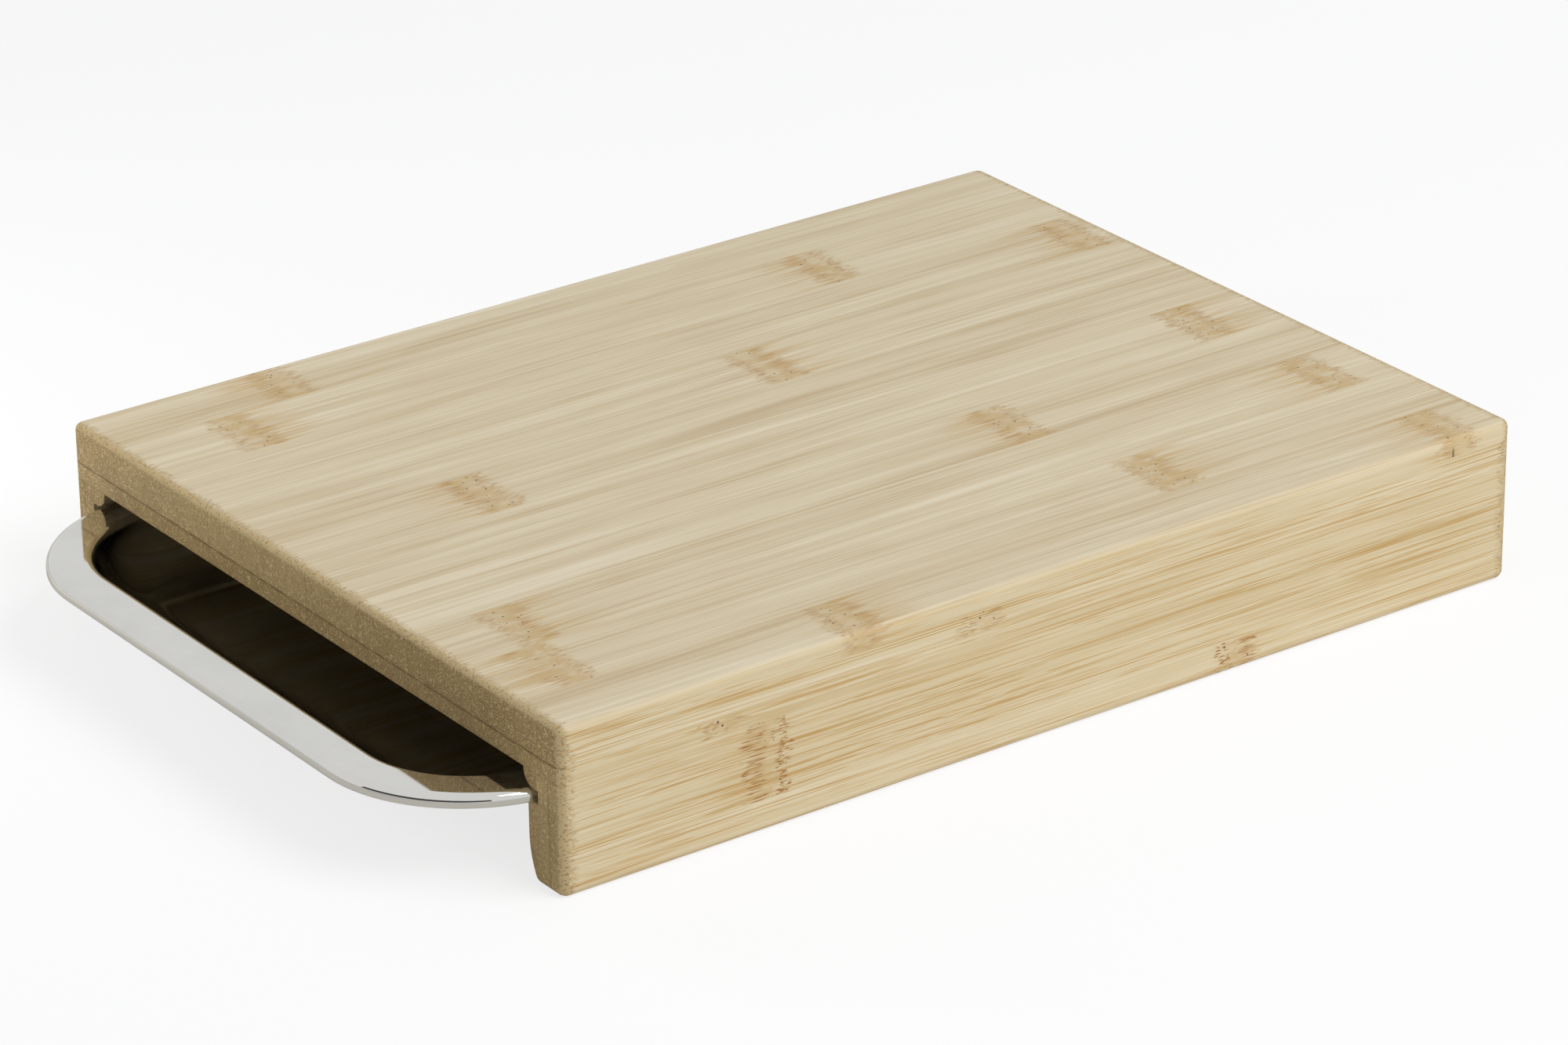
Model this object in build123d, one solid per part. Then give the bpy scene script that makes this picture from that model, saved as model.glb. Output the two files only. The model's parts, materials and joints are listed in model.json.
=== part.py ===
from build123d import *
from math import floor
import os

# Bamboo cutting board on two grooved side rails, with a pressed steel tray that slides under it.
# Millimetres. Z is up, the grain of the cutting panel runs along Y, and the tray pulls out towards -Y.
# The origin is on the table, under the middle of the whole object with the tray drawn out as shown.

# ---- board, outside ----
board_length = 330.0
board_width = 250.0
corner_round = 3.0            # upright corners
top_round = 2.2               # edge round the cutting surface
foot_round = 2.6              # edge round the underside

# ---- cutting panel: three layers of strips, all laid along the board ----
face_ply = 5.8
core_ply = 6.0
under_ply = 5.2
strip_width = 25.7            # a full strip
edge_strip_width = 20.5       # the trimmed strip along the +X edge
narrowest_strip = 6.0         # a remainder thinner than this is left on its neighbour

# ---- rails: three upright layers, each of two strips, one above the other ----
rail_height = 33.0
rail_outer_ply = 5.5
rail_core_ply = 5.7
rail_inner_ply = 5.8
rail_foot_strip = 9.9         # height of the lower strip
lip_height = 5.0              # wood over the groove
lip_round = 4.6
groove_height = 4.0
groove_depth = 6.6            # measured from the inner face of the lip
relief = 2.0                  # the rail below the groove stands back this far from the lip
heel_height = 14.0            # below this the inner face curves away
heel_setback = 4.2
heel_round = 1.5

# ---- tray: one pressed sheet ----
sheet = 0.6
flange_height = 3.5           # the rim's turned-down edge
rim_width = 13.4              # from the flange to the mouth of the bowl
rim_corner = 45.0
rim_bend = 2.4
mouth_round = 2.3
mouth_underside = 0.65        # flat under that bend, which keeps the sheet's thickness there
bowl_depth = 15.0
bowl_draft = 20.0             # degrees from upright
bowl_floor_round = 18.5       # the wall runs into the floor in one wide sweep

# ---- fits ----
groove_side_gap = 1.2         # flange to the groove's wall, each side
groove_floor_gap = 0.3        # flange to the groove's floor
stop_gap = 0.5                # closed tray to the back rail
closed_overhang = 6.0         # how far the closed tray stands out of the front
rest_overhang = 35.6          # how far it stands out here, partly drawn out

# ---- worked out from the above ----
panel_height = face_ply + core_ply + under_ply
board_height = rail_height + panel_height
rail_thickness = rail_outer_ply + rail_core_ply + rail_inner_ply

half_width = board_width / 2
front_y = (rest_overhang - board_length) / 2
back_y = front_y + board_length
stop_y = back_y - rail_thickness

lip_x = half_width - rail_thickness
groove_x = lip_x + groove_depth
lower_x = lip_x + relief
groove_top = rail_height - lip_height
groove_floor = groove_top - groove_height

tray_width = 2 * (groove_x - groove_side_gap)
tray_front_y = front_y - rest_overhang
tray_length = board_length - rail_thickness - stop_gap + closed_overhang
flange_foot = groove_floor + groove_floor_gap
rim_top = flange_foot + flange_height


def block(x_ends, y_ends, z_ends):
    """A rectangular block between two ends along each axis."""
    ends = (x_ends, y_ends, z_ends)
    middle = [(start + end) / 2 for start, end in ends]
    size = [end - start for start, end in ends]
    return Pos(*middle) * Box(*size)


def rounded_board():
    """The outside of the whole board as one solid, with its edges rounded over."""
    form = block((-half_width, half_width), (front_y, back_y), (0, board_height))
    form = fillet(form.edges().filter_by(Axis.Z), corner_round)
    form = fillet(form.faces().sort_by(Axis.Z)[-1].edges(), top_round)
    return fillet(form.faces().sort_by(Axis.Z)[0].edges(), foot_round)


def strip_seams():
    """X of every seam of the panel from -X to +X, both outer faces included."""
    full_strips = floor((board_width - edge_strip_width) / strip_width)
    remainder = board_width - edge_strip_width - full_strips * strip_width
    if remainder < narrowest_strip:
        full_strips -= 1
    first_full = half_width - edge_strip_width - full_strips * strip_width
    inner_seams = [first_full + count * strip_width for count in range(full_strips + 1)]
    return [-half_width] + inner_seams + [half_width]


def panel_strips(board):
    """The three layers of the cutting panel, strip by strip."""
    layers = {
        "face_strip": (board_height - face_ply, board_height),
        "core_strip": (rail_height + under_ply, board_height - face_ply),
        "under_strip": (rail_height, rail_height + under_ply),
    }
    seams = strip_seams()
    strips = {}
    for layer, z_ends in layers.items():
        for number, x_ends in enumerate(zip(seams, seams[1:]), start=1):
            strips[f"{layer}_{number:02d}"] = board & block(x_ends, (front_y, back_y), z_ends)
    return strips


def rail_section():
    """End view of the +X rail: lip with a rounded edge, groove, and a heel that curves under."""
    heel_x = lower_x + heel_setback
    upper = Polyline(
        (half_width, 0),
        (half_width, rail_height),
        (lip_x, rail_height),
        (lip_x, groove_top),
        (groove_x, groove_top),
        (groove_x, groove_floor),
        (lower_x, groove_floor),
        (lower_x, heel_height),
    )
    heel = TangentArc((lower_x, heel_height), (heel_x, 0), tangent=(0, -1))
    sole = Line((heel_x, 0), (half_width, 0))
    section = make_face(upper.edges() + heel.edges() + sole.edges())
    lip_corner = section.vertices().sort_by_distance((lip_x, groove_top))[0]
    section = fillet(lip_corner, min(lip_round, 0.95 * lip_height))
    heel_corner = section.vertices().sort_by_distance((heel_x, 0))[0]
    return fillet(heel_corner, heel_round)


def whole_rail(board):
    """The +X rail before it is told apart into its strips."""
    section = Plane.XZ.offset(-back_y) * rail_section()
    return extrude(section, board_length) & board


def rail_strips(rail):
    """The strips of the +X rail. The groove parts its inner layer into a lip and the strips below."""
    outer_seam = half_width - rail_outer_ply
    inner_seam = outer_seam - rail_core_ply
    groove_middle = (groove_top + groove_floor) / 2
    foot = (0, rail_foot_strip)
    above = (rail_foot_strip, rail_height)
    cuts = {
        "outer_upper": ((outer_seam, half_width), above),
        "outer_foot": ((outer_seam, half_width), foot),
        "core_upper": ((inner_seam, outer_seam), above),
        "core_foot": ((inner_seam, outer_seam), foot),
        "inner_upper": ((lip_x, inner_seam), (rail_foot_strip, groove_middle)),
        "inner_foot": ((lip_x, inner_seam), foot),
        "lip": ((lip_x, inner_seam), (groove_middle, rail_height)),
    }
    return {
        name: rail & block(x_ends, (front_y, back_y), z_ends)
        for name, (x_ends, z_ends) in cuts.items()
    }


def back_rail_strips(board, side_rails):
    """The back rail, with ends shaped to the side rails so that a stub enters each groove."""
    plies = {"outer": rail_outer_ply, "core": rail_core_ply, "inner": rail_inner_ply}
    heights = {"upper": (rail_foot_strip, rail_height), "foot": (0, rail_foot_strip)}
    strips = {}
    y_far = back_y
    for ply, thickness in plies.items():
        y_ends = (y_far - thickness, y_far)
        for strip, z_ends in heights.items():
            blank = board & block((-groove_x, groove_x), y_ends, z_ends)
            strips[f"back_rail_{ply}_{strip}"] = blank - side_rails
        y_far -= thickness
    return strips


def bowl_form(wall, floor_round):
    """The bowl as a solid block, its sides and floor moved out from the inside face by `wall`."""
    mouth = 2 * (rim_width - wall)
    plan = RectangleRounded(tray_width - mouth, tray_length - mouth, rim_corner - rim_width + wall)
    form = extrude(Pos(0, 0, rim_top) * plan, -bowl_depth - wall, taper=bowl_draft)
    return fillet(form.faces().sort_by(Axis.Z)[0].edges(), floor_round)


def rim_form(inset, z_top, bend):
    """The rim as a solid block from the foot of the flange up to z_top."""
    plan = RectangleRounded(tray_width - 2 * inset, tray_length - 2 * inset, rim_corner - inset)
    form = extrude(Pos(0, 0, flange_foot) * plan, z_top - flange_foot)
    return fillet(form.faces().sort_by(Axis.Z)[-1].edges(), bend)


def mouth_edges(tray, height):
    """The ring of edges at a height where the flat rim meets the bowl."""
    inside = tray_width / 2 - rim_width / 2
    level = [edge for edge in tray.edges() if abs(edge.center().Z - height) < sheet / 20]
    flat = [edge for edge in level if edge.bounding_box().size.Z < sheet / 20]
    return [edge for edge in flat if max(abs(end.X) for end in edge.vertices()) < inside]


def steel_tray():
    """Pressed tray: flat rim with its edge turned down, and a drafted bowl with a rounded floor."""
    rim = rim_form(0, rim_top, rim_bend) - rim_form(sheet, rim_top - sheet, rim_bend - sheet)
    tray = rim + bowl_form(sheet, bowl_floor_round + sheet) - bowl_form(0, bowl_floor_round)
    tray = fillet(mouth_edges(tray, rim_top), mouth_round)
    tray = chamfer(mouth_edges(tray, rim_top - sheet), mouth_underside)
    return Pos(0, tray_front_y + tray_length / 2, 0) * tray


def all_pieces():
    """Every piece by name, in place, with the tray partly drawn out."""
    board = rounded_board()
    pieces = panel_strips(board)
    right_rail = whole_rail(board)
    left_rail = mirror(right_rail, Plane.YZ)
    for name, strip in rail_strips(right_rail).items():
        pieces[f"right_rail_{name}"] = strip
        pieces[f"left_rail_{name}"] = mirror(strip, Plane.YZ)
    pieces.update(back_rail_strips(board, right_rail + left_rail))
    pieces["steel_tray"] = steel_tray()
    return pieces


os.makedirs("parts", exist_ok=True)
for node, piece in all_pieces().items():
    export_step(piece, f"parts/{node}.step")
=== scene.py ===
import json
import math

import bmesh
import bpy
from mathutils import Matrix, Vector


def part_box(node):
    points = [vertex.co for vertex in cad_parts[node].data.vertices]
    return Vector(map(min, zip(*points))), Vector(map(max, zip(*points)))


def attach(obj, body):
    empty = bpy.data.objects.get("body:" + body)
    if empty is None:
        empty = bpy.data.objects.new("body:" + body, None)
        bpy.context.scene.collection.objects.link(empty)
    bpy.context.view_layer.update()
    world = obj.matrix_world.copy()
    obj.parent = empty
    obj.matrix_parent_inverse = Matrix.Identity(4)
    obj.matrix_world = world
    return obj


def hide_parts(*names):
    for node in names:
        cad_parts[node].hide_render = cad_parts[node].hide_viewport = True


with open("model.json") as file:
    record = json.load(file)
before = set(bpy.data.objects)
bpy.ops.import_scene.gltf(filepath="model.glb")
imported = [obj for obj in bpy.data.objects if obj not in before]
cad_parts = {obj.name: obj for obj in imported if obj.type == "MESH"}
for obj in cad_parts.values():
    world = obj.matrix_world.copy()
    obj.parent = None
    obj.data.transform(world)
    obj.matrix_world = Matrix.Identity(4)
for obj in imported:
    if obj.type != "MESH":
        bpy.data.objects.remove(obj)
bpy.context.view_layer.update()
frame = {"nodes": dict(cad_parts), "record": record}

MM = 0.001

# The board and the tray, read from the frame.
BOARD_NODES = frame["record"]["behaviour"]["bodies"]["board"]
BOARD_FRONT = Vector(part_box("right_rail_outer_upper")[0])
TRAY_LOW, TRAY_HIGH = (Vector(corner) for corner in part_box("steel_tray"))

# Pressed tray.
SHEET = 0.6 * MM
FLANGE_HEIGHT = 3.5 * MM
RIM_WIDTH = 13.4 * MM
RIM_CORNER = 45 * MM
RIM_BEND = 2.4 * MM
MOUTH_ROUND = 2.3 * MM
BOWL_DEPTH = TRAY_HIGH.z - TRAY_LOW.z - SHEET
BOWL_DRAFT = math.radians(20)
BOWL_FLOOR_ROUND = 18.5 * MM
CORNER_FACETS = 28
BEND_FACETS = 6
SUPPORT = 0.25 * MM            # narrow rings that hold each bend's edge
FLOOR_RING = 3 * MM            # the last ring, on the flat floor
QUARTER_TURN = math.pi / 2

# Camera: where the photographer stood.
CAMERA_SPOT = Vector((1330.2, -941.2, 768.6)) * MM
CAMERA_HEADING = math.radians(54.28)
CAMERA_DIP = math.radians(24.60)
CAMERA_ROLL = math.radians(-0.65)
CAMERA_LENS = 143.1
SENSOR = 36.0

# Knuckles along the strips that show, in mm from the board's front end.
TOP_KNUCKLES = {
    1: (63,), 2: (36, 241), 3: (318,), 4: (183,), 5: (67,),
    6: (303,), 7: (214,), 8: (27, 308), 9: (20, 226), 10: (99, 310),
}
EDGE_KNUCKLES = {
    "right_rail_outer_upper": (67,),
    "right_rail_outer_foot": (228,),
    "core_strip_10": (138,),
    "under_strip_10": (52,),
    "left_rail_outer_upper": (142,),
    "left_rail_outer_foot": (271,),
    "core_strip_01": (206,),
    "back_rail_outer_upper": (171,),
    "back_rail_outer_foot": (64,),
}
SMALL_KNUCKLES = ("core_strip_10", "under_strip_10", "core_strip_01")

# Seams that show on a cut end, and how dark each is. Those of the layers and the foot strips
# are in mm over the table, those of the rails in mm from the board's middle.
LAYER_SEAMS = ((44.2, 0.05), (38.2, 1.0), (33.0, 0.35))
RAIL_SEAMS = (119.5, 0.55), (113.8, 0.12)
FOOT_SEAM = (9.9, 0.10)
STRIP_SEAM = 0.30


def feed(tree, socket, value):
    """Links the socket to another one, or gives it a value."""
    if isinstance(value, bpy.types.NodeSocket):
        tree.links.new(value, socket)
    else:
        socket.default_value = value


def node_math(tree, operation, *values):
    node = tree.nodes.new("ShaderNodeMath")
    node.operation = operation
    for socket, value in zip(node.inputs, values):
        feed(tree, socket, value)
    return node.outputs[0]


def assign(piece, material):
    piece.data.materials.clear()
    piece.data.materials.append(material)


def placed(shape, name):
    """A new object in the scene with this shape, which is used up."""
    mesh = bpy.data.meshes.new(name)
    shape.to_mesh(mesh)
    shape.free()
    piece = bpy.data.objects.new(name, mesh)
    bpy.context.scene.collection.objects.link(piece)
    return piece


def empty_tree(block):
    """The node tree of a material or world, with nothing in it."""
    block.use_nodes = True
    block.node_tree.nodes.clear()
    return block.node_tree


class Recipe:
    """The nodes of one material, with a short call for each kind it is made from."""

    def __init__(self, name):
        self.material = bpy.data.materials.new(name)
        self.tree = empty_tree(self.material)
        self.place = self.add("ShaderNodeTexCoord").outputs["Object"]
        self.facing = self.add("ShaderNodeNewGeometry").outputs["Normal"]

    def add(self, kind, **settings):
        node = self.tree.nodes.new(kind)
        for key, value in settings.items():
            setattr(node, key, value)
        return node

    def feed(self, socket, value):
        feed(self.tree, socket, value)

    def math(self, operation, *values):
        return node_math(self.tree, operation, *values)

    def times(self, product, *values):
        """The product of all the values."""
        for value in values:
            product = self.math("MULTIPLY", product, value)
        return product

    def gap(self, first, second):
        """How far apart the two values are."""
        return self.math("ABSOLUTE", self.math("SUBTRACT", first, second))

    def split(self, vector):
        node = self.add("ShaderNodeSeparateXYZ")
        self.feed(node.inputs[0], vector)
        return node.outputs

    def join(self, x, y, z):
        node = self.add("ShaderNodeCombineXYZ")
        for socket, value in zip(node.inputs, (x, y, z)):
            self.feed(socket, value)
        return node.outputs[0]

    def move(self, vector, scale=(1, 1, 1), shift=(0, 0, 0), turn=0.0):
        node = self.add("ShaderNodeMapping")
        self.feed(node.inputs["Vector"], vector)
        node.inputs["Location"].default_value = shift
        node.inputs["Rotation"].default_value = (0, 0, turn)
        node.inputs["Scale"].default_value = scale
        return node.outputs[0]

    def noise(self, vector, detail=2.0, roughness=0.5, distortion=0.0):
        node = self.add("ShaderNodeTexNoise")
        self.feed(node.inputs["Vector"], vector)
        node.inputs["Scale"].default_value = 1.0
        node.inputs["Detail"].default_value = detail
        node.inputs["Roughness"].default_value = roughness
        node.inputs["Distortion"].default_value = distortion
        return node.outputs[0]

    def spots(self, vector):
        """Distance to the nearest of many points, one strewn in each unit cell."""
        node = self.add("ShaderNodeTexVoronoi")
        self.feed(node.inputs["Vector"], vector)
        node.inputs["Scale"].default_value = 1.0
        return node.outputs["Distance"]

    def fade(self, value, start, end, low=0.0, high=1.0):
        """Goes smoothly from low at start to high at end, and no further."""
        if start > end:
            start, end, low, high = end, start, high, low
        node = self.add("ShaderNodeMapRange", interpolation_type="SMOOTHSTEP")
        for socket, setting in zip(node.inputs, (value, start, end, low, high)):
            self.feed(socket, setting)
        return node.outputs[0]

    def blend(self, share, first, second):
        node = self.add("ShaderNodeMix", data_type="RGBA")
        self.feed(node.inputs[0], share)
        for socket, colour in zip(node.inputs[6:8], (first, second)):
            linked = isinstance(colour, bpy.types.NodeSocket)
            self.feed(socket, colour if linked else (*colour, 1))
        return node.outputs[2]

    def bump(self, height, strength, distance, below=None):
        node = self.add("ShaderNodeBump")
        node.inputs["Strength"].default_value = strength
        node.inputs["Distance"].default_value = distance
        self.feed(node.inputs["Height"], height)
        if below is not None:
            self.feed(node.inputs["Normal"], below)
        return node.outputs[0]

    def finish(self, **sockets):
        shader = self.add("ShaderNodeBsdfPrincipled")
        for name, value in sockets.items():
            self.feed(shader.inputs[name.replace("_", " ")], value)
        output = self.add("ShaderNodeOutputMaterial")
        self.tree.links.new(shader.outputs[0], output.inputs["Surface"])
        return self.material


# ---------------------------------------------------------------- bamboo

# Sanded faces: the flat of the strips on top, and their warmer edges on the long sides.
TOP_TONES = ((0.530, 0.418, 0.252), (0.655, 0.556, 0.380), (0.745, 0.665, 0.496))
SIDE_TONES = ((0.560, 0.428, 0.224), (0.656, 0.545, 0.346), (0.712, 0.620, 0.436))
TOP_LINE = (0.480, 0.325, 0.155)
SIDE_LINE = (0.500, 0.292, 0.080)
STAIN = (0.520, 0.330, 0.112)
KNUCKLE_TAN = (0.530, 0.370, 0.168)
KNUCKLE_DASH = (0.350, 0.158, 0.036)
PORE = (0.070, 0.035, 0.015)

# Colours of the cut ends and of the seams.
END_GROUND = (0.325, 0.220, 0.087)
END_WORM = (0.660, 0.520, 0.262)
END_BUNDLE = (0.235, 0.145, 0.058)
END_RIM = (0.520, 0.400, 0.210)
FRINGE = (0.310, 0.185, 0.078)
GLUE = (0.150, 0.080, 0.032)

# Streaks of each kind: how wide and how long, in mm.
FINE_FIBRES = (0.42, 80)
MEDIUM_FIBRES = (1.9, 150)
BROAD_BANDS = (8, 300)
MOTTLE = (5, 30)
LINE_CLUSTERS = (2.8, 140)
LONG_LINES = (0.40, 75)
SHORT_LINES = (0.34, 20)
KNUCKLE_BEND = (7, 25)
KNUCKLE_FRAY = (0.9, 5)
KNUCKLE_BLOTCH = (3.2, 6)
NEAR_DASHES = (0.42, 2.6)
FAR_DASHES = (0.42, 7)
STAIN_SMEARS = (1.0, 30)
END_CLOUDS = (8, 200)
FRAY_WAVES = (1.0, 6)
FIBRE_TIPS = (0.34, 1.3)
GLUE_PATCHES = (4, 80)

# How much each layer of streaks moves the tone of a sanded face, from fine to mottle.
LAYER_SHARES = (0.58, 0.58, 0.52, 0.20)
TOP_WARMTH, SIDE_WARMTH = 0.12, 0.80      # how strong the brown lines are

# Knuckles: where the two rows of dashes lie from the middle, and how strong each mark is on the
# top and on the sides. The cell round each pore is drawn out at right angles to the face, in mm.
NEAR_ROW, FAR_ROW = -4.8 * MM, 4.6 * MM
TOP_MARKS = {"blotch": 0.35, "tan": 0.74, "dash": 0.42, "pore": 0.75, "cell": (2.4, 2.7, 60)}
SIDE_MARKS = {"blotch": 0.10, "tan": 0.62, "dash": 0.90, "pore": 0.92, "cell": (60, 2.7, 2.4)}

# Sizes on the cut ends and beside them.
WORM_SPACING = 1.05 * MM
END_DOTS = (0.62 * MM, 5 * MM)            # across and along the grain
TOP_FRAY, SIDE_FRAY = 3.8 * MM, 5.6 * MM  # how far fibre ends reach in from the cut
TONE_STEP = 12.9898                       # spreads the shades of the ends over the strips


def grain_space(recipe, seed, across):
    """Object coordinates with the grain on Y, bent a little so that the fibres wander, and Y."""
    turned = recipe.move(recipe.place, turn=QUARTER_TURN if across else 0.0)
    slow = recipe.move(turned, scale=(28, 4, 28), shift=(seed * 3.1, seed * 1.7, seed * 2.3))
    x, y, z = recipe.split(turned)
    wander = recipe.times(recipe.math("SUBTRACT", recipe.noise(slow, 1.0), 0.5), 5 * MM)
    bent_x = recipe.math("ADD", x, wander)
    bent_z = recipe.math("ADD", z, recipe.times(wander, 0.5))
    return recipe.join(bent_x, y, bent_z), y


def fibres(recipe, grain, streak, seed, detail=2.0, roughness=0.5):
    """Noise drawn out along the grain into streaks of this width and length."""
    width, length = (size * MM for size in streak)
    scale = (1 / width, 1 / length, 1 / width)
    shift = (seed * 7.3, seed * 4.9, seed * 9.1)
    return recipe.noise(recipe.move(grain, scale, shift), detail, roughness)


def ragged(recipe, value, layer, spread):
    """The value pushed up and down by up to half the spread, as the layer says."""
    push = recipe.times(recipe.math("SUBTRACT", layer, 0.5), spread)
    return recipe.math("ADD", value, push)


def sanded_face(recipe, grain, seed, tones, line, warmth):
    """Colour of the strip along its grain, with the fine and the medium fibres it is made from."""
    fine = fibres(recipe, grain, FINE_FIBRES, seed, 1.0)
    medium = fibres(recipe, grain, MEDIUM_FIBRES, seed + 1, 2.0, 0.6)
    broad = fibres(recipe, grain, BROAD_BANDS, seed + 2, 1.0)
    mottle = fibres(recipe, grain, MOTTLE, seed + 3, 2.0)
    value = 0.5
    for layer, share in zip((fine, medium, broad, mottle), LAYER_SHARES):
        value = ragged(recipe, value, layer, share)
    colour = recipe.blend(recipe.fade(value, 0.22, 0.50), tones[0], tones[1])
    colour = recipe.blend(recipe.fade(value, 0.48, 0.76), colour, tones[2])
    clusters = fibres(recipe, grain, LINE_CLUSTERS, seed + 6, 1.0)
    clusters = recipe.fade(clusters, 0.38, 0.60, 0.15, 1.0)
    long_lines = recipe.fade(fibres(recipe, grain, LONG_LINES, seed + 4, 1.0), 0.54, 0.60)
    short_lines = recipe.fade(fibres(recipe, grain, SHORT_LINES, seed + 7, 1.0), 0.60, 0.68)
    lines = recipe.math("MAXIMUM", long_lines, recipe.times(short_lines, 0.8))
    lines = recipe.times(lines, clusters, 0.20 + 0.72 * warmth)
    return recipe.blend(lines, colour, line), fine, medium


def knuckle(recipe, colour, grain, y, place_y, seed, bold, way, marks):
    """Draws one knuckle over the colour: a mottled band between two rows of dashes, dark pores,
    and a stain that trails off one way along the grain. Also returns the hollows it leaves."""
    offset = recipe.times(recipe.math("SUBTRACT", y, place_y), way)
    offset = ragged(recipe, offset, fibres(recipe, grain, KNUCKLE_BEND, seed + 5, 2.0), 6 * MM)
    frayed = ragged(recipe, offset, fibres(recipe, grain, KNUCKLE_FRAY, seed + 6, 1.0), 9 * MM)

    blotch = fibres(recipe, grain, KNUCKLE_BLOTCH, seed + 10, 2.0)
    blotch = recipe.fade(blotch, 0.34, 0.64, marks["blotch"], 1.0)
    inside = recipe.fade(recipe.math("ABSOLUTE", frayed), 9.5 * MM, 2.0 * MM)
    band = recipe.times(inside, blotch)

    near_row = recipe.fade(recipe.gap(frayed, NEAR_ROW), 2.6 * MM, 1.2 * MM)
    far_row = recipe.fade(recipe.gap(frayed, FAR_ROW), 4.2 * MM, 1.5 * MM)
    near_dashes = recipe.fade(fibres(recipe, grain, NEAR_DASHES, seed + 7, 1.0), 0.50, 0.58)
    far_dashes = recipe.fade(fibres(recipe, grain, FAR_DASHES, seed + 8, 1.0), 0.52, 0.60)
    near_dashes = recipe.times(near_dashes, near_row)
    far_dashes = recipe.times(far_dashes, far_row)
    dashes = recipe.math("MAXIMUM", near_dashes, far_dashes)

    cell_scale = [1 / (step * MM) for step in marks["cell"]]
    spots = recipe.spots(recipe.move(grain, cell_scale, (seed, seed, seed)))
    middle = recipe.fade(recipe.math("ABSOLUTE", offset), 5.5 * MM, 4 * MM)
    pores = recipe.times(recipe.fade(spots, 0.17, 0.10), middle)

    trail = recipe.times(
        recipe.fade(offset, 26 * MM, 3 * MM), recipe.fade(offset, -2 * MM, 4 * MM)
    )
    smears = recipe.fade(fibres(recipe, grain, STAIN_SMEARS, seed + 12, 2.0), 0.44, 0.60)

    colour = recipe.blend(recipe.times(trail, smears, 0.65 * bold), colour, STAIN)
    colour = recipe.blend(recipe.times(band, marks["tan"] * bold), colour, KNUCKLE_TAN)
    colour = recipe.blend(recipe.times(dashes, marks["dash"] * bold), colour, KNUCKLE_DASH)
    colour = recipe.blend(recipe.times(pores, marks["pore"]), colour, PORE)
    return colour, recipe.math("ADD", pores, recipe.times(dashes, 0.5))


def cut_end(recipe, grain, seed, tone):
    """Colour of a cut end: pale curling lines between fibre bundles, in darker and paler clouds."""
    scale = (1 / WORM_SPACING, 20, 1 / WORM_SPACING)
    curl = recipe.noise(recipe.move(grain, scale, (seed, 0, seed * 2)), 0.0, 0.5, 0.35)
    worms = recipe.fade(recipe.gap(curl, 0.5), 0.075, 0.012)
    cloud = fibres(recipe, grain, END_CLOUDS, seed + 8, 2.0)
    colour = recipe.blend(recipe.fade(cloud, 0.35, 0.70, 0.0, 0.40), END_GROUND, END_BUNDLE)
    shade, share = (END_BUNDLE, 0.22 * -tone) if tone < 0 else (END_WORM, 0.16 * tone)
    colour = recipe.blend(share, colour, shade)
    return recipe.blend(recipe.times(worms, 0.64), colour, END_WORM)


def rounded_end(recipe, grain, seed):
    """Colour where the end is rounded over: bundles cut slantwise show as dark dots."""
    across, along = END_DOTS
    scale = (1 / across, 1 / along, 1 / across)
    dots = recipe.fade(recipe.spots(recipe.move(grain, scale, (seed, 0, seed))), 0.43, 0.22)
    return recipe.blend(recipe.times(dots, 0.90), END_RIM, FRINGE), dots


def frayed_edge(recipe, colour, grain, y, ends, seed, depth):
    """Short brown fibre ends on the sanded face, in the last millimetres before the cut."""
    from_low = recipe.math("SUBTRACT", y, ends[0])
    from_high = recipe.math("SUBTRACT", ends[1], y)
    inset = recipe.math("MINIMUM", from_low, from_high)
    inset = ragged(recipe, inset, fibres(recipe, grain, FRAY_WAVES, seed + 14, 1.0), 5 * MM)
    close = recipe.fade(inset, depth, 0.5 * depth)
    tips = recipe.fade(fibres(recipe, grain, FIBRE_TIPS, seed + 15, 1.0), 0.50, 0.59)
    colour = recipe.blend(recipe.times(close, 0.40), colour, END_RIM)
    return recipe.blend(recipe.times(close, tips, 0.58), colour, FRINGE)


def seam_line(recipe, axis, place, normal):
    """1 on a seam across this axis, seen on the faces that it cuts through."""
    near = recipe.fade(recipe.gap(recipe.split(recipe.place)[axis], place), 0.60 * MM, 0.10 * MM)
    return recipe.times(near, recipe.fade(normal[axis], 0.90, 0.60))


def glue_seams(recipe, grain, seed, low, high, across, cut):
    """How dark the glue lines on the edges of this strip are."""
    normal = [recipe.math("ABSOLUTE", part) for part in recipe.split(recipe.facing)]
    total = 0.0
    for height, dark in LAYER_SEAMS + (FOOT_SEAM,):
        if min(abs(low.z - height * MM), abs(high.z - height * MM)) < 0.1 * MM:
            line = recipe.times(seam_line(recipe, 2, height * MM, normal), dark)
            total = recipe.math("MAXIMUM", total, line)
    side = 1 if across else 0
    for edge in (low[side], high[side]):
        if cad_board[0][side] + MM < edge < cad_board[1][side] - MM:
            dark = dict(RAIL_SEAMS).get(round(abs(edge) / MM, 1), STRIP_SEAM)
            line = recipe.times(seam_line(recipe, side, edge, normal), dark)
            total = recipe.math("MAXIMUM", total, line)
    patchy = fibres(recipe, grain, GLUE_PATCHES, seed + 9, 2.0)
    patchy = recipe.fade(patchy, 0.36, 0.62, 0.50, 1.0)
    along = recipe.fade(cut, 0.0, 1.0, 0.55, 1.0)
    return recipe.times(total, patchy, along)


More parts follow.
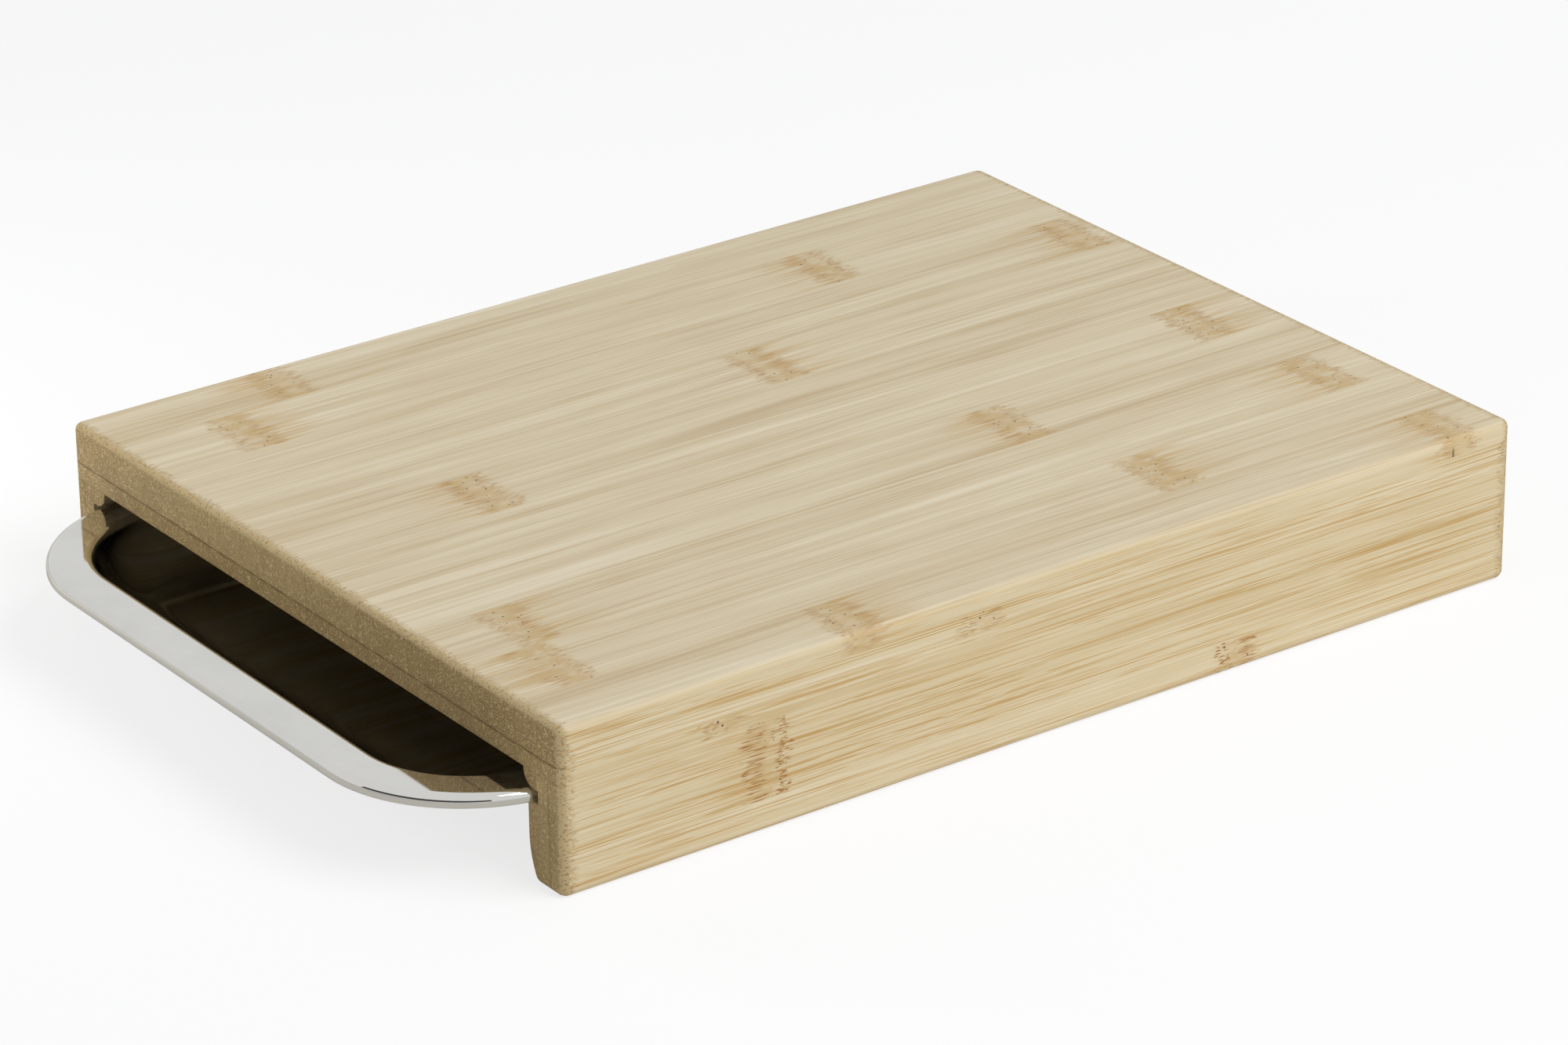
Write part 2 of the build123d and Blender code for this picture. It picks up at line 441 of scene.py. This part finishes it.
def bamboo(
    name, seed, shows_top, shows_side, tone=0.0, end_seed=0, knuckles=(), bold=1.0, across=False
):
    """Sanded bamboo for one strip: fibres along it, knuckles, cut ends and glue lines.

    tone is the shade of the cut end, end_seed picks its pattern, and bold is how strong the
    knuckles are."""
    recipe = Recipe(f"bamboo_{name}")
    grain, y = grain_space(recipe, seed, across)
    low, high = (Vector(corner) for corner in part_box(name))
    if shows_top:
        colour, fine, medium = sanded_face(recipe, grain, seed, TOP_TONES, TOP_LINE, TOP_WARMTH)
    if shows_side:
        edge, fine, medium = sanded_face(
            recipe, grain, seed + 20, SIDE_TONES, SIDE_LINE, SIDE_WARMTH
        )
        upright = recipe.math("ABSOLUTE", recipe.split(recipe.facing)[2])
        colour = recipe.blend(recipe.fade(upright, 0.85, 0.35), colour, edge) if shows_top else edge
    dents = recipe.times(fine, -0.6)
    marks = TOP_MARKS if shows_top else SIDE_MARKS
    for number, place in enumerate(knuckles):
        way = -1 if (seed + number) % 2 else 1
        colour, holes = knuckle(
            recipe, colour, grain, y, place, seed + 11 * number, bold, way, marks
        )
        dents = recipe.math("ADD", dents, holes)

    ends = (low.x, high.x) if across else (low.y, high.y)
    depth = TOP_FRAY if shows_top else SIDE_FRAY
    colour = frayed_edge(recipe, colour, grain, y, ends, seed, depth)
    slope = recipe.math("ABSOLUTE", recipe.split(recipe.facing)[0 if across else 1])
    oblique = recipe.fade(slope, 0.12, 0.40)
    cut = recipe.fade(slope, 0.86, 0.985)
    slant, dots = rounded_end(recipe, grain, end_seed)
    colour = recipe.blend(oblique, colour, slant)
    colour = recipe.blend(cut, colour, cut_end(recipe, grain, end_seed, tone))
    seam = glue_seams(recipe, grain, seed, low, high, across, cut)
    glue = recipe.blend(oblique, STAIN, GLUE)
    colour = recipe.blend(recipe.times(seam, 0.85), colour, glue)

    for mark, share in ((recipe.times(dots, oblique), 0.4), (seam, 1.2)):
        dents = recipe.math("ADD", dents, recipe.times(mark, share))
    normal = recipe.bump(recipe.times(dents, -1.0), 0.30, 0.14 * MM)
    roughness = recipe.fade(medium, 0.3, 0.7, 0.50, 0.62)
    return recipe.finish(
        Base_Color=colour, Roughness=roughness, Normal=normal, Specular_IOR_Level=0.3
    )


def board_box():
    """Lowest and highest corner of everything that rides on the board."""
    corners = [Vector(corner) for name in BOARD_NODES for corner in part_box(name)]
    low = tuple(min(corner[axis] for corner in corners) for axis in range(3))
    high = tuple(max(corner[axis] for corner in corners) for axis in range(3))
    return low, high


cad_board = board_box()


def dress_board():
    """A bamboo material for every strip, each with its own tone, fibres and knuckles.

    The two upper layers share the pattern of their cut ends, so that the seam between them
    fades there."""
    for seed, name in enumerate(BOARD_NODES, start=1):
        layer, _, number = name.partition("_strip_")
        across = name.startswith("back_rail")
        on_top = layer == "face"
        spots = TOP_KNUCKLES[int(number)] if on_top else EDGE_KNUCKLES.get(name, ())
        start = cad_board[0][0] if across else BOARD_FRONT.y
        end_seed = int(number) if layer in ("face", "core") else seed
        material = bamboo(
            name,
            seed,
            shows_top=on_top,
            shows_side=not on_top or number in ("01", "10"),
            tone=math.sin(end_seed * TONE_STEP),
            end_seed=end_seed,
            knuckles=[start + spot * MM for spot in spots],
            bold=0.55 if name in SMALL_KNUCKLES else 1.0,
            across=across,
        )
        assign(frame["nodes"][name], material)


# ---------------------------------------------------------------- tray

STEEL_PALE = (0.760, 0.755, 0.725)
STEEL_SMEARED = (0.720, 0.716, 0.690)
RIPPLE_SCALE = (22, 22, 22)
WIPE_SCALE, WIPE_TURN = (60, 900, 60), 0.35
SMEAR_SCALE, SMEAR_SHIFT = (45, 45, 45), (3, 5, 7)


def polished_steel():
    """Mirror-polished sheet: a slight ripple from the press, fine wipe marks and faint smears."""
    recipe = Recipe("polished_steel")
    ripple = recipe.noise(recipe.move(recipe.place, RIPPLE_SCALE), 1.0)
    wipes = recipe.noise(recipe.move(recipe.place, WIPE_SCALE, turn=WIPE_TURN), 3.0, 0.6)
    smear = recipe.noise(recipe.move(recipe.place, SMEAR_SCALE, SMEAR_SHIFT), 3.0, 0.6)
    roughness = recipe.fade(smear, 0.3, 0.75, 0.030, 0.075)
    roughness = recipe.math("ADD", roughness, recipe.times(wipes, 0.02))
    colour = recipe.blend(recipe.fade(smear, 0.35, 0.7), STEEL_PALE, STEEL_SMEARED)
    normal = recipe.bump(ripple, 0.25, 0.25 * MM)
    normal = recipe.bump(wipes, 0.012, 0.02 * MM, normal)
    return recipe.finish(Base_Color=colour, Metallic=1.0, Roughness=roughness, Normal=normal)


def bend(radius, start, end, facets):
    """Steps round a bend, each as inwards and upwards, as its tangent dips from start to end."""
    dips = [start + (end - start) * count / facets for count in range(facets + 1)]
    sign = 1 if end > start else -1
    return [
        (
            sign * radius * (math.sin(after) - math.sin(before)),
            sign * radius * (math.cos(after) - math.cos(before)),
        )
        for before, after in zip(dips, dips[1:])
    ]


def straight(length, inwards, upwards):
    """Steps along a straight of this length, with a narrow ring at each of its ends."""
    shares = (SUPPORT, length - 2 * SUPPORT, SUPPORT)
    return [(inwards * share, upwards * share) for share in shares]


def tray_section():
    """Steps from the foot of the flange over the rim and down to the bowl's floor, each as
    inwards and upwards."""
    slope = QUARTER_TURN - BOWL_DRAFT
    mouth_run = MOUTH_ROUND * math.tan(slope / 2)
    floor_run = BOWL_FLOOR_ROUND * math.tan(slope / 2)
    wall = BOWL_DEPTH / math.cos(BOWL_DRAFT) - mouth_run - floor_run
    return (
        straight(FLANGE_HEIGHT - RIM_BEND, 0.0, 1.0)
        + bend(RIM_BEND, -QUARTER_TURN, 0.0, BEND_FACETS)
        + straight(RIM_WIDTH - RIM_BEND - mouth_run, 1.0, 0.0)
        + bend(MOUTH_ROUND, 0.0, slope, BEND_FACETS)
        + straight(wall, math.sin(BOWL_DRAFT), -math.cos(BOWL_DRAFT))
        + bend(BOWL_FLOOR_ROUND, slope, 0.0, 2 * BEND_FACETS)
        + [(SUPPORT, 0.0), (FLOOR_RING, 0.0)]
    )


def press_tray():
    """The tray as a sheet drawn down from its outline, ring by ring, and given its thickness."""
    shape = bmesh.new()
    bmesh.ops.create_grid(shape, x_segments=1, y_segments=1, size=0.5)
    width, length = TRAY_HIGH.x - TRAY_LOW.x, TRAY_HIGH.y - TRAY_LOW.y
    foot = TRAY_HIGH.z - FLANGE_HEIGHT
    bmesh.ops.scale(shape, vec=(width, length, 1), verts=shape.verts)
    centre = (TRAY_LOW + TRAY_HIGH) / 2
    bmesh.ops.translate(shape, vec=(centre.x, centre.y, foot), verts=shape.verts)
    bmesh.ops.bevel(
        shape, geom=shape.verts[:], offset=RIM_CORNER, offset_type="OFFSET", segments=CORNER_FACETS,
        profile=0.5, affect="VERTICES", material=-1,
    )
    for inwards, upwards in tray_section():
        top = max(shape.faces, key=lambda face: len(face.verts))
        if inwards == 0.0:
            raised = bmesh.ops.extrude_face_region(shape, geom=[top])
            moved = [part for part in raised["geom"] if isinstance(part, bmesh.types.BMVert)]
            bmesh.ops.translate(shape, vec=(0, 0, upwards), verts=moved)
            if top.is_valid:
                bmesh.ops.delete(shape, geom=[top], context="FACES_ONLY")
        else:
            bmesh.ops.inset_region(
                shape, faces=[top], thickness=inwards, depth=upwards,
                use_even_offset=True, use_boundary=True,
            )
    bmesh.ops.recalc_face_normals(shape, faces=shape.faces)
    piece = placed(shape, "pressed_tray")
    piece.data.shade_smooth()
    wall = piece.modifiers.new("sheet", "SOLIDIFY")
    wall.thickness = SHEET
    wall.offset = -1.0
    wall.use_even_offset = True
    assign(piece, polished_steel())
    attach(piece, "tray")
    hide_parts("steel_tray")


# ---------------------------------------------------------------- studio

# Lamps: place, the point they face, size in metres and power in watts.
WINDOW = {"spot": (1.25, 0.62, 1.7), "aim": (0, 0, 0), "size": (1.6, 1.2), "watts": 35}
LEFT_FILL = {
    "spot": (-0.40, -0.37, 0.15), "aim": (-0.06, -0.147, 0.04), "size": (0.12, 0.08),
    "watts": 0.78, "mirrored": False,
}

# The white surround, in metres and in shares of white.
FLOOR_HALF = 6
FLOOR_PAINT = (0.94, 0.94, 0.94)
# Painted shade: the darker colour that the floor has only where the steel mirrors it.
FLOOR_PAINTED_SHADE_IN_MIRRORS = (0.62, 0.60, 0.55)
FLOOR_WHITENESS = 0.76
SKY_TINT = (0.97, 0.985, 1.0)
SKY_STRENGTH = 0.38

# The dim wall that the steel mirrors, as a painted reflection: a faintly glowing dark card, no
# lamp.
WALL_SIZE = (4.0, 0.9)
WALL_SPOT = (0.93, -2.0, 0.62)
WALL_HEADING = math.radians(25)
PAINTED_REFLECTION_COLOUR = (0.085, 0.080, 0.075)


def photo_camera():
    camera = bpy.data.cameras.new("photo_camera")
    camera.sensor_width = SENSOR
    camera.sensor_fit = "HORIZONTAL"
    camera.lens = CAMERA_LENS
    camera.clip_end = 20
    holder = bpy.data.objects.new("photo_camera", camera)
    turn = (
        Matrix.Rotation(CAMERA_HEADING, 4, "Z")
        @ Matrix.Rotation(QUARTER_TURN - CAMERA_DIP, 4, "X")
        @ Matrix.Rotation(CAMERA_ROLL, 4, "Z")
    )
    holder.matrix_world = Matrix.Translation(CAMERA_SPOT) @ turn
    bpy.context.scene.collection.objects.link(holder)
    bpy.context.scene.camera = holder


def soft_lamp(name, spot, aim, size, watts, mirrored=True):
    lamp = bpy.data.lights.new(name, "AREA")
    lamp.shape = "RECTANGLE"
    lamp.size, lamp.size_y = size
    lamp.energy = watts
    holder = bpy.data.objects.new(name, lamp)
    spot = Vector(spot)
    turn = (Vector(aim) - spot).to_track_quat("-Z", "Y").to_matrix().to_4x4()
    holder.matrix_world = Matrix.Translation(spot) @ turn
    holder.visible_camera = False
    holder.visible_glossy = mirrored
    bpy.context.scene.collection.objects.link(holder)


def seen_share(tree, by_camera, by_mirror):
    """How white the surround looks to the camera, and in the steel that the camera sees."""
    path = tree.nodes.new("ShaderNodeLightPath")
    scattered = node_math(tree, "MINIMUM", path.outputs["Diffuse Depth"], 1.0)
    unscattered = node_math(tree, "SUBTRACT", 1.0, scattered)
    mirrored = node_math(tree, "MULTIPLY", path.outputs["Is Glossy Ray"], unscattered)
    seen = node_math(tree, "MULTIPLY", path.outputs["Is Camera Ray"], by_camera)
    return node_math(tree, "ADD", seen, node_math(tree, "MULTIPLY", mirrored, by_mirror))


def mixed(tree, share, first, second):
    """The first shader, with this share of the second one."""
    mix = tree.nodes.new("ShaderNodeMixShader")
    for socket, output in zip(mix.inputs, (share, first.outputs[0], second.outputs[0])):
        tree.links.new(output, socket)
    return mix


def close_tree(tree, kind, shader):
    output = tree.nodes.new(kind)
    tree.links.new(shader.outputs[0], output.inputs["Surface"])


def pale_floor():
    """A white sweep that keeps the object's shadow. Where the steel mirrors it, the floor shows
    painted shade: a darker colour that only mirror rays see.
    """
    shape = bmesh.new()
    bmesh.ops.create_grid(shape, x_segments=1, y_segments=1, size=FLOOR_HALF)
    floor = placed(shape, "floor")
    material = bpy.data.materials.new("white_floor")
    tree = empty_tree(material)
    paint = tree.nodes.new("ShaderNodeBsdfDiffuse")
    paper_and_painted_shade = tree.nodes.new("ShaderNodeMix")
    paper_and_painted_shade.data_type = "RGBA"
    paper_and_painted_shade.inputs[6].default_value = (*FLOOR_PAINT, 1)
    # Painted shade: mirror rays see the floor in this darker colour, all other rays see its white
    # paint.
    paper_and_painted_shade.inputs[7].default_value = (*FLOOR_PAINTED_SHADE_IN_MIRRORS, 1)
    tree.links.new(seen_share(tree, 0.0, 1.0), paper_and_painted_shade.inputs[0])
    tree.links.new(paper_and_painted_shade.outputs[2], paint.inputs["Color"])
    glow = tree.nodes.new("ShaderNodeEmission")
    glow.inputs["Strength"].default_value = 1.0
    shader = mixed(tree, seen_share(tree, FLOOR_WHITENESS, 0.0), paint, glow)
    close_tree(tree, "ShaderNodeOutputMaterial", shader)
    assign(floor, material)


def white_world():
    """White to the camera and in the steel, and a weaker light on everything else."""
    world = bpy.data.worlds.new("white_room")
    bpy.context.scene.world = world
    tree = empty_tree(world)
    lit = tree.nodes.new("ShaderNodeBackground")
    lit.inputs["Color"].default_value = (*SKY_TINT, 1)
    path = tree.nodes.new("ShaderNodeLightPath")
    unmirrored = node_math(tree, "SUBTRACT", 1.0, path.outputs["Is Glossy Ray"])
    feed(tree, lit.inputs["Strength"], node_math(tree, "MULTIPLY", unmirrored, SKY_STRENGTH))
    seen = tree.nodes.new("ShaderNodeBackground")
    seen.inputs["Strength"].default_value = 1.0
    shader = mixed(tree, seen_share(tree, 1.0, 1.0), lit, seen)
    close_tree(tree, "ShaderNodeOutputWorld", shader)


def painted_reflection_wall():
    """A painted reflection: a faintly glowing card for the dim wall to the left behind the camera,
    seen only in reflections.
    """
    shape = bmesh.new()
    bmesh.ops.create_grid(shape, x_segments=1, y_segments=1, size=0.5)
    bmesh.ops.scale(shape, vec=(*WALL_SIZE, 1), verts=shape.verts)
    turn = Matrix.Rotation(WALL_HEADING, 4, "Z") @ Matrix.Rotation(QUARTER_TURN, 4, "X")
    bmesh.ops.transform(shape, matrix=Matrix.Translation(WALL_SPOT) @ turn, verts=shape.verts)
    reflection_card = placed(shape, "painted_reflection_wall")
    reflection_card.visible_camera = False
    reflection_card.visible_diffuse = False
    reflection_card.visible_shadow = False
    material = bpy.data.materials.new("painted_reflection_wall")
    tree = empty_tree(material)
    # Painted reflection: the card glows faintly in this dark colour, though it is no lamp, and
    # casts no shadow.
    dim = tree.nodes.new("ShaderNodeEmission")
    dim.inputs["Color"].default_value = (*PAINTED_REFLECTION_COLOUR, 1)
    close_tree(tree, "ShaderNodeOutputMaterial", dim)
    assign(reflection_card, material)


def studio():
    bpy.context.scene.view_settings.view_transform = "Standard"
    photo_camera()
    white_world()
    pale_floor()
    painted_reflection_wall()
    soft_lamp("window", **WINDOW)
    soft_lamp("left_fill", **LEFT_FILL)


dress_board()
press_tray()
studio()
